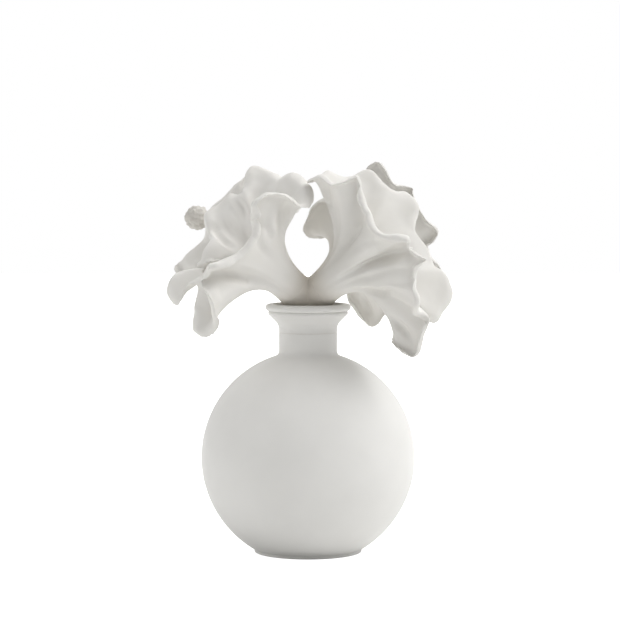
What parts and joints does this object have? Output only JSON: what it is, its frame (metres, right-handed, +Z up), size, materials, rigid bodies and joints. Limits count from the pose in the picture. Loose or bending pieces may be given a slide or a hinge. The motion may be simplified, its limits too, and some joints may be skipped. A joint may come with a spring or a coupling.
{
  "type": "flower fragrance diffuser",
  "caption": "Ball-shaped glazed bottle with a flared neck collar and a lift-out head of ruffled trumpet blooms in bare porcelain on wicks.",
  "frame": {"origin": "centre of the underside of the foot ring", "axes": "+Z up along the bottle's axis, -Y towards the front, +X to the right seen from the front"},
  "size_m": [0.143, 0.1214, 0.1945],
  "materials": {
    "glazed_porcelain": "white porcelain under a clear gloss glaze",
    "bisque_porcelain": "unglazed smooth matte porcelain",
    "rough_bisque": "unglazed porcelain with a rough, knobbly surface",
    "silicone": "soft translucent white",
    "clear_seal": "thin soft seal",
    "wick_fibre": "bonded fibre wick"
  },
  "bodies": {
    "bottle": {"bottle": "glazed_porcelain", "collar_seal": "clear_seal", "neck_collar": "glazed_porcelain"},
    "stopper": {"stopper_sleeve": "silicone"},
    "flower": {"flower_stem": "bisque_porcelain", "bloom_front_left": "bisque_porcelain", "bloom_front_right": "bisque_porcelain", "bloom_back_left": "bisque_porcelain", "bloom_back_right": "bisque_porcelain", "pistil_front_left": "rough_bisque", "pistil_front_right": "rough_bisque", "pistil_back_left": "rough_bisque", "pistil_back_right": "rough_bisque", "wick_1": "wick_fibre", "wick_2": "wick_fibre", "wick_3": "wick_fibre", "wick_4": "wick_fibre"}
  },
  "joints": [
    {"name": "flower_lift", "type": "slide", "parent": "bottle", "child": "stopper", "axis": [0, 0, 1], "range_m": [0, 0.125]},
    {"name": "flower_turn", "type": "hinge", "parent": "stopper", "child": "flower", "pos_m": [0, 0, 0.119], "axis": [0, 0, 1], "continuous": true}
  ]
}
